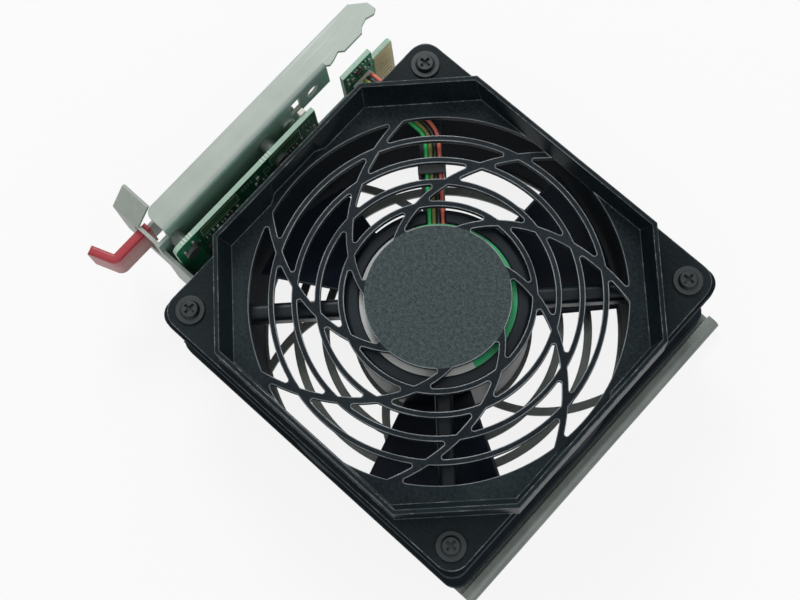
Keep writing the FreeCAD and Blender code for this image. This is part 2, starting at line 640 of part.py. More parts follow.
# ---------------------------------------------------------------- rotor

def blade(number):
    """One twisted blade: lens-shaped sections lofted outwards, trimmed by the hub and the tip circle."""
    height = mm("blade_height")
    foot = mm("blade_foot")
    axis = FreeCAD.Vector(1, 0, 0)
    wires = []
    for radius in (14.0, 26.0, 38.0, 50.0, 62.0):
        across = mm("blade_spread") * radius
        stagger = math.degrees(math.atan2(height / 2, across))
        half = math.hypot(across, height / 2) * 1.02
        bow = mm("blade_camber")
        skin = mm("blade_thickness")
        ends = (FreeCAD.Vector(0, -half, 0), FreeCAD.Vector(0, half, 0))
        upper = Part.Arc(ends[0], FreeCAD.Vector(0, 0, skin / 2 - bow), ends[1]).toShape()
        lower = Part.Arc(ends[1], FreeCAD.Vector(0, 0, -skin / 2 - bow), ends[0]).toShape()
        wire = Part.Wire([upper, lower])
        wire.rotate(FreeCAD.Vector(0, 0, 0), axis, stagger)
        wire.translate(FreeCAD.Vector(radius, 0, foot + height / 2 + bow * 0.6))
        wires.append(wire)
    loft = Part.makeLoft(wires, True, False)
    ring = Part.makeCylinder(mm("tip_radius"), height, FreeCAD.Vector(0, 0, foot))
    core = Part.makeCylinder(mm("hub_radius") - mm("hub_wall") / 2, height, FreeCAD.Vector(0, 0, foot))
    shape = loft.common(ring.cut(core))
    shape.rotate(FreeCAD.Vector(0, 0, 0), FreeCAD.Vector(0, 0, 1), 70.0 + 360.0 * number / mm("blade_count"))
    feature = doc.addObject("Part::Feature", "blade_%d" % (number + 1))
    feature.Shape = shape
    return feature


def impeller():
    """Hub cup and boss with the blades moulded on."""
    hub = new_body("impeller_hub")
    floor = "rotor_foot+hub_end"
    turned(hub, "hub_profile", [
        ("shaft_radius", "rotor_foot"), ("hub_radius-1.5", "rotor_foot"), ("hub_radius", "rotor_foot+1.5"),
        ("hub_radius", "hub_top"), ("hub_radius-hub_wall", "hub_top"), ("hub_radius-hub_wall", floor),
        ("2*shaft_radius", floor), ("2*shaft_radius", floor + "+3"), ("shaft_radius", floor + "+3")])
    return fuse("impeller", [hub] + [blade(i) for i in range(int(mm("blade_count")))])


def tube(label, inner, outer, bottom, top):
    """A plain ring between two radii and two heights."""
    body = new_body(label)
    turned(body, label + "_profile", [(inner, bottom), (outer, bottom), (outer, top), (inner, top)])
    return body


def rotor_yoke():
    """Drawn steel cup inside the hub."""
    body = new_body("rotor_yoke")
    turned(body, "yoke_profile", [
        ("2*shaft_radius+0.1", "yoke_floor"), ("yoke_radius", "yoke_floor"), ("yoke_radius", "hub_top-1.6"),
        ("yoke_radius-yoke_wall", "hub_top-1.6"), ("yoke_radius-yoke_wall", "yoke_floor+yoke_wall"),
        ("2*shaft_radius+0.1", "yoke_floor+yoke_wall")])
    return body


def rotor_parts():
    rotor_yoke()
    tube("rotor_magnet", "magnet_outer-magnet_wall", "magnet_outer", "core_base-2.5", "core_base+core_height+4")
    shaft = new_body("rotor_shaft")
    turned(shaft, "shaft_profile", [
        ("0", "rotor_foot+0.3"), ("shaft_radius", "rotor_foot+0.3"),
        ("shaft_radius", "base_under-1.0"), ("shaft_radius-0.4", "base_under-0.6"),
        ("0", "base_under-0.6")])
    tube("preload_washer", "bearing_bore+0.1", "bearing_bore+1.6", "tube_foot-1.2", "tube_foot-0.7")
    tube("shaft_clip", "shaft_radius", "shaft_radius+1.6",
         "base_under-1.9", "base_under-1.3")


def motor_parts():
    """Bearings in their tube, the wound core and the driver board."""
    tube("bearing_tube", "bearing_radius", "tube_outer", "tube_foot", "base_under")
    tube("bearing_rear", "bearing_bore", "bearing_radius", "tube_foot", "tube_foot+bearing_width")
    tube("bearing_front", "bearing_bore", "bearing_radius",
         "base_under-2.2-bearing_width", "base_under-2.2")
    tube("motor_board", "tube_outer+0.1", "yoke_radius-board_inset", "base_under-board_gauge", "base_under")
    tube("hub_label", "0", "label_radius", "fan_top-base_drop", "fan_top-base_drop+label_gauge")


def stator_core():
    """Laminated core: four poles with wide shoes on a ring round the bearing tube."""
    body = new_body("stator_core")
    def round_pad(name, radius):
        sketch = new_sketch(body, name, "XY_Plane", "core_base")
        disc(sketch, "0", "0", radius)
        return sketch

    pad(body, round_pad("core_shoes", "core_outer"), "core_height")
    pocket(body, round_pad("core_windows", "shoe_inner"), "core_height", backward=True)
    for turn in (0, 90):
        pole = new_sketch(body, "core_pole_%d" % turn, "XY_Plane", "core_base", str(turn))
        rectangle(pole, "-shoe_inner-0.5", "-pole_width/2", "shoe_inner+0.5", "pole_width/2")
        pad(body, pole, "core_height")
    pad(body, round_pad("core_ring", "tube_outer+core_wall"), "core_height")
    pocket(body, round_pad("core_bore", "tube_outer"), "core_height", backward=True)
    for turn in (45, 135):
        slot = new_sketch(body, "core_slot_%d" % turn, "XY_Plane", "core_base", str(turn))
        rectangle(slot, "shoe_inner-1", "-slot_gap/2", "core_outer+1", "slot_gap/2")
        rectangle(slot, "-core_outer-1", "-slot_gap/2", "-shoe_inner+1", "slot_gap/2")
        pocket(body, slot, "core_height", backward=True)
    return body


def stator_coils():
    """Four windings, one round each pole."""
    coils = []
    start = "tube_outer+core_wall+coil_foot"
    for number in range(4):
        body = new_body("coil_%d" % (number + 1))
        sketch = new_sketch(body, "coil_section_%d" % number, "YZ_Plane", start)
        for grow in ("coil_wall+coil_gap", "coil_gap"):
            rectangle(sketch, "-pole_width/2-(%s)" % grow, "core_base-(%s)" % grow,
                      "pole_width/2+(%s)" % grow, "core_base+core_height+(%s)" % grow)
        pad(body, sketch, "shoe_inner-coil_end-(%s)" % start)
        body.Placement.Rotation = FreeCAD.Rotation(FreeCAD.Vector(0, 0, 1), 90 * number)
        coils.append(body)
    return group("stator_coils", coils)


# ---------------------------------------------------------------- screws
def cross_recess(body, name, lift):
    """A cross-shaped driver recess."""
    sketch = new_sketch(body, name, "XY_Plane", lift)
    far, close = "cross_length/2", "cross_width/2"
    quarter = [(far, close), (close, close), (close, far)]
    corners = []
    for flip in range(4):
        for across, up in quarter:
            for _ in range(flip):
                across, up = "-(%s)" % up, across
            corners.append((across, up))
    outline(sketch, corners)
    return pocket(body, sketch, "cross_depth")


def guard_screws():
    """Long cross-head screws with washer heads: guard, fan frame and tray in one stack."""
    screws = []
    for number, (across, up) in enumerate(CORNERS, start=1):
        body = new_body("guard_screw_%d" % number)
        length = "-(ear_gauge+fan_depth+sheet_gauge-0.2)"
        turned(body, "screw_profile_%d" % number, [
            ("0", length), ("screw_radius", length), ("screw_radius", "0"), ("washer_radius", "0"),
            ("washer_radius-0.2", "washer_gauge"), ("head_radius", "washer_gauge"),
            ("head_radius-0.7", "washer_gauge+head_rise"), ("0", "washer_gauge+head_rise")])
        cross_recess(body, "screw_recess_%d" % number, "washer_gauge+head_rise")
        bind(body, Placement__Base__x=across + "hole_pitch/2", Placement__Base__y=up + "hole_pitch/2",
             Placement__Base__z="fan_top+ear_gauge")
        screws.append(body)
    return group("guard_screws", screws)


# ---------------------------------------------------------------- control board
BOARD_SEATS = [(across, up) for up in ("pcb_foot+seat_low", "pcb_top-seat_high") for across in ("-38", "2")]


def control_board():
    """Upright circuit board with a valley in its top edge and a tongue for the edge contacts."""
    body = new_body("control_board")
    sketch = new_sketch(body, "board_outline", "YZ_Plane", "-board_face-pcb_gauge")
    outline(sketch, [
        ("-pcb_front", "pcb_foot"), ("pcb_back", "pcb_foot"), ("pcb_back", "tongue_bottom"),
        ("tongue_end-tongue_chamfer", "tongue_bottom"), ("tongue_end", "tongue_bottom+tongue_chamfer"),
        ("tongue_end", "tongue_top-tongue_chamfer"), ("tongue_end-tongue_chamfer", "tongue_top"),
        ("pcb_back", "tongue_top"),
        ("pcb_back", "pcb_top"), ("pcb_step_two", "pcb_top"), ("pcb_step_two", "pcb_valley"),
        ("pcb_step_one", "pcb_valley"), ("pcb_step_one", "pcb_top"), ("-pcb_front", "pcb_top")])
    for across, up in BOARD_SEATS:
        disc(sketch, across, up, "board_screw_radius+board_screw_play")
    pad(body, sketch, "pcb_gauge")
    front, top = -mm("pcb_front"), mm("pcb_top")
    round_edges(body, "pcb_corner", lambda e: near(e.Length, mm("pcb_gauge"))
                and near(e.Vertexes[0].Y, front) and near(e.Vertexes[0].Z, top))
    return body


def board_parts():
    """What stands on the board: contacts, lead socket and plug, chips, standoffs and screws."""
    contacts = []
    for number in range(int(mm("contact_count"))):
        low = "tongue_bottom+2.4+%d*contact_pitch" % number
        contacts.append(block("contact_%d" % (number + 1),
                              ("-board_face", "tongue_end-contact_length-1", low),
                              ("-board_face+contact_gauge", "tongue_end-1", low + "+contact_width")))
    group("edge_contacts", contacts)

    left, right = "header_middle-header_length/2", "header_middle+header_length/2"
    seam = "header_top-plug_height"
    header = block("board_header", ("-board_face", left, seam + "-header_height"),
                   ("-board_face+header_depth", right, seam))
    header.Label = "board_header"
    plug = block("plug_body", ("-board_face+0.5", left + "+0.4", seam),
                 ("-board_face+header_depth-0.4", right + "-0.4", "header_top"))
    ridge = block("plug_ridge", ("-board_face+header_depth-1", "header_middle-1.4", seam),
                  ("-board_face+header_depth+0.4", "header_middle+1.4", "header_top-1"))
    fuse("lead_plug", [plug, ridge])

    chips = []
    for number, (y, z, length, height, rise) in enumerate((
            (-33.0, 18.0, 9.0, 9.0, 1.5), (-17.0, 22.0, 5.0, 6.2, 1.4), (-9.0, 22.0, 5.0, 6.2, 1.4),
            (8.0, 20.0, 7.0, 4.4, 1.2), (-22.0, 8.0, 12.0, 5.0, 2.4), (20.0, 8.0, 8.0, 8.0, 3.0))):
        chips.append(block("chip_%d" % (number + 1), ("-board_face", str(y), str(z)),
                           ("-board_face+%s" % rise, str(y + length), str(z + height))))
    group("board_chips", chips)

    along = FreeCAD.Vector(1, 0, 0)
    standoffs, screws = [], []
    for number, (across, up) in enumerate(BOARD_SEATS, start=1):
        standoffs.append(rod("standoff_%d" % number, ("-web_face", across, up), "standoff_radius",
                             "web_face-board_face-pcb_gauge", along))
        shank = rod("board_screw_shank_%d" % number, ("-board_face-pcb_gauge", across, up),
                    "board_screw_radius", "pcb_gauge+board_screw_end", along)
        head = rod("board_screw_head_%d" % number, ("-board_face", across, up),
                   "board_screw_head", "board_screw_rise", along)
        screws.append(fuse("board_screw_%d" % number, [shank, head]))
    group("board_standoffs", standoffs)
    group("board_screws", screws)


# ---------------------------------------------------------------- leads
def rounded_path(points, radii):
    """Straight runs joined by tangent arcs of the given radii."""
    edges = []
    start = points[0]
    for i, radius in enumerate(radii, start=1):
        before = (points[i - 1] - points[i]).normalize()
        after = (points[i + 1] - points[i]).normalize()
        opening = before.getAngle(after)
        reach = radius / math.tan(opening / 2)
        enter = points[i] + before * reach
        leave = points[i] + after * reach
        centre = points[i] + (before + after).normalize() * (radius / math.sin(opening / 2))
        crown = centre + (points[i] - centre).normalize() * radius
        edges.append(Part.LineSegment(start, enter).toShape())
        edges.append(Part.Arc(enter, crown, leave).toShape())
        start = leave
    edges.append(Part.LineSegment(start, points[-1]).toShape())
    return Part.Wire(edges)


def lead(label, slot):
    """One insulated lead: up from the driver board, along its strut, out through the flange, to the plug."""
    offset = slot * mm("lead_pitch")
    radius = mm("lead_radius")
    level = mm("lead_level")
    along = FreeCAD.Vector(-math.sqrt(0.5), math.sqrt(0.5), 0)
    aside = FreeCAD.Vector(math.sqrt(0.5), math.sqrt(0.5), 0)
    first = along * mm("lead_exit") + aside * offset
    row = mm("lead_row") + offset
    corner = along * ((row - offset * math.sqrt(0.5)) / math.sqrt(0.5)) + aside * offset
    board_top = mm("base_under")
    end_x = mm("-board_face+header_depth/2")
    points = [FreeCAD.Vector(first.x, first.y, board_top), FreeCAD.Vector(first.x, first.y, level),
              FreeCAD.Vector(corner.x, corner.y, level), FreeCAD.Vector(end_x, row, level),
              FreeCAD.Vector(end_x, row, mm("header_top"))]
    radii = (mm("lead_exit_bend"), mm("lead_bend") + offset, mm("lead_drop_bend"))
    print(label, "bend radii", radii)
    path = rounded_path(points, radii)
    ring = Part.Wire([Part.makeCircle(radius, points[0], FreeCAD.Vector(0, 0, 1))])
    feature = doc.addObject("Part::Feature", label)
    feature.Shape = path.makePipeShell([ring], True, False)
    feature.Label = label
    wanted = path.Length * math.pi * radius * radius
    if abs(feature.Shape.Volume / wanted - 1) > 0.02:
        raise RuntimeError(label + " has the wrong volume")
    return feature


def lead_clip():
    """Clip over the leads, snapped on their strut."""
    body = new_body("lead_clip")
    level = "lead_level+lead_radius+2*lead_clearance"
    low = "-strut_shift-lead_strut_width/2-clip_grip"
    high = "-strut_shift+lead_strut_width/2+clip_grip"
    bridge = new_sketch(body, "clip_bridge", "XY_Plane", level, "135")
    rectangle(bridge, "clip_row", low, "clip_row+clip_width", high)
    pad(body, bridge, "clip_gauge")
    for name, left, right in (("clip_leg_near", low, low + "+clip_leg_gauge"),
                              ("clip_leg_far", high + "-clip_leg_gauge", high)):
        leg = new_sketch(body, name, "XY_Plane", level, "135")
        rectangle(leg, "clip_row", left, "clip_row+clip_width", right)
        pad(body, leg, "clip_leg", backward=True)
    return body


# ---------------------------------------------------------------- latch
LIP_ACROSS, LIP_UP = 0.94, 0.34


def strip_outline(body, name, height, lift, half, start, length):
    """The latch strip seen from above, as a band of the given half thickness."""
    sketch = new_sketch(body, name, "XY_Plane", lift)
    bend = "-handle_end+1.6"
    end_x = "-strip_out-%s*(%s)" % (LIP_ACROSS, length)
    end_y = bend + "-%s*(%s)" % (LIP_UP, length)
    near_side = [("-strip_out+(%s)" % half, start), ("-strip_out+(%s)" % half, bend + "-0.7*(%s)" % half)]
    far_side = [("-strip_out-(%s)" % half, bend + "+0.7*(%s)" % half), ("-strip_out-(%s)" % half, start)]
    tip = [(end_x + "+%s*(%s)" % (LIP_UP, half), end_y + "-%s*(%s)" % (LIP_ACROSS, half)),
           (end_x + "-%s*(%s)" % (LIP_UP, half), end_y + "+%s*(%s)" % (LIP_ACROSS, half))]
    spring = []
    if name == "latch_strip":
        knee = "pivot_row-2.5"
        head = "pivot_row+5"
        near_side = [("strip_x+strip_gauge/2", head), ("strip_x+strip_gauge/2", knee)] + near_side
        spring = [("strip_x-strip_gauge/2", knee), ("strip_x-strip_gauge/2", head)]
    outline(sketch, near_side + tip + far_side + spring)
    return pad(body, sketch, height)


def latch_spring():
    """Spring steel strip riveted to the web, running out under the rail to the handle."""
    body = new_body("latch_spring")
    low = "strip_middle-strip_height/2"
    strip_outline(body, "latch_strip", "strip_height", low, "strip_gauge/2", "-rail_start+5", "strip_lip")
    barb = new_sketch(body, "latch_barb", "XY_Plane", "strip_middle-3")
    outline(barb, [("-strip_out+3.0", "-14"), ("-strip_out-0.2", "-21.5"), ("-strip_out+2.0", "-23")])
    pad(body, barb, "6")
    holes = new_sketch(body, "latch_rivet_holes", "YZ_Plane", "strip_x-1")
    for sign in ("-", "+"):
        disc(holes, "pivot_row", "strip_middle%srivet_spread" % sign, "rivet_radius+0.25")
    pocket(body, holes, "2", backward=True)
    return body


def latch_handle(spring):
    """Vinyl sleeve dipped over the end of the strip."""
    body = new_body("sleeve_body")
    half = "strip_gauge/2+sleeve_wall"
    strip_outline(body, "sleeve_band", "strip_height+2*sleeve_wall",
                  "strip_middle-strip_height/2-sleeve_wall", half, "-front_line+3", "sleeve_lip")
    bend_x = -mm("strip_out") + mm("strip_gauge") / 2 + mm("sleeve_wall")
    bend_y = -mm("handle_end")
    round_edges(body, "3*sleeve_wall", lambda e: upright(e) and near(e.Vertexes[0].X, bend_x)
                and e.Vertexes[0].Y < bend_y + 2)
    sleeve_low = mm("strip_middle-strip_height/2-sleeve_wall")
    sleeve_high = mm("strip_middle+strip_height/2+sleeve_wall")
    round_edges(body, "sleeve_round", lambda e: not upright(e) and any(
        all(near(vertex.Z, level) for vertex in e.Vertexes) for level in (sleeve_low, sleeve_high)))
    return cut("latch_handle", body, spring)


def latch_rivets():
    """Two rivets that carry the strip on the web."""
    along = FreeCAD.Vector(1, 0, 0)
    rivets = []
    for number, sign in enumerate(("-", "+"), start=1):
        up = "strip_middle%srivet_spread" % sign
        outer = "-(web_face+sheet_gauge+2*strip_gap+strip_gauge)"
        shank = rod("rivet_shank_%d" % number, (outer + "-rivet_rise/2", "pivot_row", up), "rivet_radius-0.03",
                    "sheet_gauge+2*strip_gap+strip_gauge+rivet_rise", along)
        back = rod("rivet_back_%d" % number, (outer + "-rivet_rise", "pivot_row", up), "rivet_head",
                   "rivet_rise", along)
        face = rod("rivet_face_%d" % number, ("-web_face", "pivot_row", up), "rivet_head", "rivet_rise", along)
        rivets.append(fuse("rivet_%d" % number, [shank, back, face]))
    return group("latch_rivets", rivets)


# ---------------------------------------------------------------- the module
tray()
side_bracket()
fan_housing()
finger_guard()
impeller()
rotor_parts()
motor_parts()
stator_core()
stator_coils()
guard_screws()
control_board()
board_parts()
for lead_label, lead_slot in (("lead_green", -1), ("lead_yellow", 0), ("lead_black", 1), ("lead_red", 2)):
    lead(lead_label, lead_slot)
lead_clip()
latch_handle(latch_spring())
latch_rivets()
doc.recompute()

NODES = [
    "tray", "side_bracket", "fan_housing", "finger_guard", "guard_screws", "impeller", "rotor_yoke", "rotor_magnet",
    "rotor_shaft", "shaft_clip", "preload_washer", "bearing_rear", "bearing_front", "bearing_tube",
    "stator_core", "stator_coils", "motor_board", "hub_label", "control_board", "edge_contacts",
    "board_header", "lead_plug", "board_chips", "board_standoffs", "board_screws", "lead_green",
    "lead_yellow", "lead_black", "lead_red", "lead_clip", "latch_spring", "latch_handle", "latch_rivets",
]

for item in doc.Objects:
    if "Invalid" in item.State or "Error" in item.State:
        raise RuntimeError("%s is %s" % (item.Name, item.State))
pieces = []
for node in NODES:
    piece = doc.getObjectsByLabel(node)[0]
    if piece.Shape.isNull() or not piece.Shape.isValid():
        raise RuntimeError(node + " has no valid shape")
    pieces.append((node, piece))
os.makedirs("parts", exist_ok=True)
for node, piece in pieces:
    piece.Shape.exportStep("parts/%s.step" % node)
print(len(pieces), "parts written")
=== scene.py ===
import bmesh
import bpy
import math
from mathutils import Euler, Matrix, Vector


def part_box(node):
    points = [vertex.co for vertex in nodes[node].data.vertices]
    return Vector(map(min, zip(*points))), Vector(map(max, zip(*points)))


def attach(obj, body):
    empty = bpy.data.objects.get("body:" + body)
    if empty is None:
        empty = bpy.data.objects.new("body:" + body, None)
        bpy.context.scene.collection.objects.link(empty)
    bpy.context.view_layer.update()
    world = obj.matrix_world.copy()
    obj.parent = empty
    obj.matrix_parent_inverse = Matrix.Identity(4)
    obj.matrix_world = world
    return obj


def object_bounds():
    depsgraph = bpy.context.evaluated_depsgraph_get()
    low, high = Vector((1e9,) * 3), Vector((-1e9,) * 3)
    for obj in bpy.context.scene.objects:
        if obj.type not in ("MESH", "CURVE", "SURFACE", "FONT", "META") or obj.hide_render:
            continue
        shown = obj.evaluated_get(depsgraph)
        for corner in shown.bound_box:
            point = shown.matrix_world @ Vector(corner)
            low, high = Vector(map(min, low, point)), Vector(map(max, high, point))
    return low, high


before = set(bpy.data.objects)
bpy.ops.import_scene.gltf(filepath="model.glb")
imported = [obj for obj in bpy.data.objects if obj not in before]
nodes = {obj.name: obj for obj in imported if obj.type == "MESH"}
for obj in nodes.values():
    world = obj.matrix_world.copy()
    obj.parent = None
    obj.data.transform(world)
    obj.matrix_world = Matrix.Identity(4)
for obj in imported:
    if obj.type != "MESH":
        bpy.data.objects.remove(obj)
cad_low, cad_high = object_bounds()


# ---- Camera ------------------------------------------------------------------------------------------
# The module lies on its tray and is seen from above the finger guard, a little towards the hemmed side
# and the front, turned so that the guard's corners point up, down, left and right.
camera_data = bpy.data.cameras.new("camera")
camera_data.sensor_width = 36.0
camera_data.lens = 71.2
camera_data.shift_x = -0.012
camera_data.shift_y = -0.005
camera_data.clip_start = 0.01
camera = bpy.data.objects.new("camera", camera_data)
camera.location = (0.0934, -0.0799, 0.4973)
camera.rotation_euler = Euler([math.radians(angle) for angle in (14.99, 2.98, 42.30)])
bpy.context.scene.collection.objects.link(camera)
bpy.context.scene.camera = camera


# ---- Floor and studio --------------------------------------------------------------------------------
# A plain white table under a white studio, with one broad lamp over the latch side and a weaker one
# opposite. The table stays nearly white to the eye and keeps the module's soft shadow.
class Signal:
    """A number or colour inside a material. Arithmetic on it adds Math nodes."""

    def __init__(self, finish, socket):
        self.finish = finish
        self.socket = socket

    def math(self, operation, *values):
        """Work out one Math node from this signal and numbers or other signals."""
        return self.finish.node("ShaderNodeMath", {"operation": operation}, *values)

    def __add__(self, other):
        return self.math("ADD", self, other)

    __radd__ = __add__

    def __sub__(self, other):
        return self.math("SUBTRACT", self, other)

    def __rsub__(self, other):
        return self.math("SUBTRACT", other, self)

    def __mul__(self, other):
        return self.math("MULTIPLY", self, other)

    __rmul__ = __mul__

    def __pow__(self, other):
        return self.math("POWER", self, other)

    def __abs__(self):
        return self.math("ABSOLUTE", self)

    def __gt__(self, other):
        return self.math("GREATER_THAN", self, other)

    def __lt__(self, other):
        return self.math("LESS_THAN", self, other)

    def either(self, other):
        """The larger of the two, so that either mask counts."""
        return self.math("MAXIMUM", self, other)


class Finish:
    """A material: its Principled shader, the values fixed on it, and the nodes that feed it."""

    def __init__(self, name, colour, **fixed):
        self.material = bpy.data.materials.new(name)
        self.material.use_nodes = True
        self.tree = self.material.node_tree
        self.shader = self.tree.nodes["Principled BSDF"]
        self.output = self.tree.nodes["Material Output"]
        self.shader.inputs["Base Color"].default_value = (*colour, 1.0)
        for socket, value in fixed.items():
            self.shader.inputs[socket.replace("_", " ")].default_value = value
        self.place = self.node("ShaderNodeTexCoord", output="Object")

    def node(self, kind, settings=None, *values, output=0, **sockets):
        """Add a node: its settings first, then the values or links of its sockets."""
        made = self.tree.nodes.new(kind)
        for setting, value in (settings or {}).items():
            setattr(made, setting, value)
        named = {name.replace("_", " "): value for name, value in sockets.items()}
        for key, value in {**dict(enumerate(values)), **named}.items():
            self.connect(value, made.inputs[key])
        return Signal(self, made.outputs[output])

    def connect(self, value, socket):
        """Link a signal to a socket, or set a number or a colour on it."""
        if isinstance(value, Signal):
            self.tree.links.new(value.socket, socket)
        elif socket.type == "RGBA":
            socket.default_value = (*value, 1.0)
        else:
            socket.default_value = value

    def feed(self, **links):
        """Link signals to sockets of the Principled shader."""
        for name, value in links.items():
            self.connect(value, self.shader.inputs[name.replace("_", " ")])

    def blend(self, factor, first, second):
        """Mix two colours."""
        made = self.tree.nodes.new("ShaderNodeMix")
        made.data_type = "RGBA"
        self.connect(factor, made.inputs[0])
        self.connect(first, made.inputs[6])
        self.connect(second, made.inputs[7])
        return Signal(self, made.outputs[2])

    def along(self, axis):
        """How far a point lies along one axis of the module, in metres."""
        return self.node("ShaderNodeSeparateXYZ", None, self.place, output=axis)

    def facing(self, axis):
        """How squarely a face looks along one axis of the module, from -1 to 1."""
        normal = self.node("ShaderNodeNewGeometry", output="True Normal")
        return self.node("ShaderNodeSeparateXYZ", None, normal, output=axis)

    def noise(self, scale, detail, roughness, stretch=None):
        """Cloudy noise with features about 1/scale metres wide, drawn out where stretch says."""
        place = self.place
        if stretch:
            place = self.node("ShaderNodeMapping", None, place, Scale=stretch)
        return self.node("ShaderNodeTexNoise", None, Vector=place, Scale=scale, Detail=detail,
                         Roughness=roughness)

    def ramp(self, value, low, high):
        """Turn a number into 0 below low and 1 above high."""
        return self.node("ShaderNodeMapRange", {"clamp": True}, value, low, high, 0.0, 1.0)

    def bump(self, height, strength, depth, under=None):
        """A bump that feeds Normal, with depth in metres, laid over softened edges."""
        sockets = {"Strength": strength, "Distance": depth, "Height": height}
        if under is not None:
            sockets["Normal"] = under
        return self.node("ShaderNodeBump", None, **sockets)

    def soft_edges(self, radius):
        """The normal of a surface whose edges are rounded by a radius in metres."""
        return self.node("ShaderNodeBevel", {"samples": 6}, radius)

    def edge_mask(self, radius):
        """1 near an edge of the piece and 0 on its flats."""
        true_normal = self.node("ShaderNodeNewGeometry", output="True Normal")
        dot = self.node("ShaderNodeVectorMath", {"operation": "DOT_PRODUCT"},
                        self.soft_edges(radius), true_normal, output="Value")
        return self.ramp(1.0 - dot, 0.02, 0.25)


def paint(finish, *pieces):
    """Give pieces one material in place of what they had."""
    for piece in pieces:
        piece.data.materials.clear()
        piece.data.materials.append(finish.material)


def add_floor():
    """A flat table a hair below the tray, seen and mirrored as nearly white."""
    half_width = 3.0
    gap_below_tray = 0.0002
    glow_share = 0.86
    table = bmesh.new()
    bmesh.ops.create_grid(table, x_segments=1, y_segments=1, size=half_width)
    bmesh.ops.translate(table, verts=table.verts, vec=(0, 0, cad_low.z - gap_below_tray))
    mesh = bpy.data.meshes.new("floor")
    table.to_mesh(mesh)
    table.free()
    floor = bpy.data.objects.new("floor", mesh)
    bpy.context.scene.collection.objects.link(floor)
    finish = Finish("table_white", (0.86, 0.86, 0.86), Roughness=0.9)
    path = "ShaderNodeLightPath"
    seen = finish.node(path, output="Is Camera Ray")
    mirrored = finish.node(path, output="Is Glossy Ray")
    through = finish.node(path, output="Is Transmission Ray")
    glow = finish.node("ShaderNodeEmission", None, (1.0, 1.0, 1.0), 1.0)
    share = seen.either(mirrored).either(through) * glow_share
    lit = Signal(finish, finish.shader.outputs["BSDF"])
    mixed = finish.node("ShaderNodeMixShader", None, share, lit, glow)
    finish.connect(mixed, finish.output.inputs["Surface"])
    paint(finish, floor)


def add_world():
    """A plain white studio, dimmer as a light than as it is seen or mirrored."""
    lighting, backdrop = 0.45, 1.0
    world = bpy.data.worlds.new("studio")
    world.use_nodes = True
    bpy.context.scene.world = world
    tree = world.node_tree
    background = tree.nodes["Background"]
    background.inputs["Color"].default_value = (1.0, 1.0, 1.0, 1.0)
    path = tree.nodes.new("ShaderNodeLightPath")
    strongest = path.outputs["Is Camera Ray"]
    for ray in ("Is Glossy Ray", "Is Transmission Ray"):
        either = tree.nodes.new("ShaderNodeMath")
        either.operation = "MAXIMUM"
        tree.links.new(strongest, either.inputs[0])
        tree.links.new(path.outputs[ray], either.inputs[1])
        strongest = either.outputs[0]
    level = tree.nodes.new("ShaderNodeMapRange")
    level.inputs["To Min"].default_value = lighting
    level.inputs["To Max"].default_value = backdrop
    tree.links.new(strongest, level.inputs["Value"])
    tree.links.new(level.outputs["Result"], background.inputs["Strength"])


def add_lamp(name, place, size, power):
    """A square lamp aimed at the middle of the module."""
    data = bpy.data.lights.new(name, "AREA")
    data.size = size
    data.energy = power
    lamp = bpy.data.objects.new(name, data)
    lamp.location = place
    aim = (cad_low + cad_high) / 2 - Vector(place)
    lamp.rotation_euler = aim.to_track_quat("-Z", "Y").to_euler()
    bpy.context.scene.collection.objects.link(lamp)


add_floor()
add_world()
add_lamp("key", (-0.62, 0.42, 0.80), size=0.35, power=4.7)
add_lamp("fill", (0.75, -0.10, 0.75), size=0.8, power=1.7)
bpy.context.scene.view_settings.view_transform = "Standard"


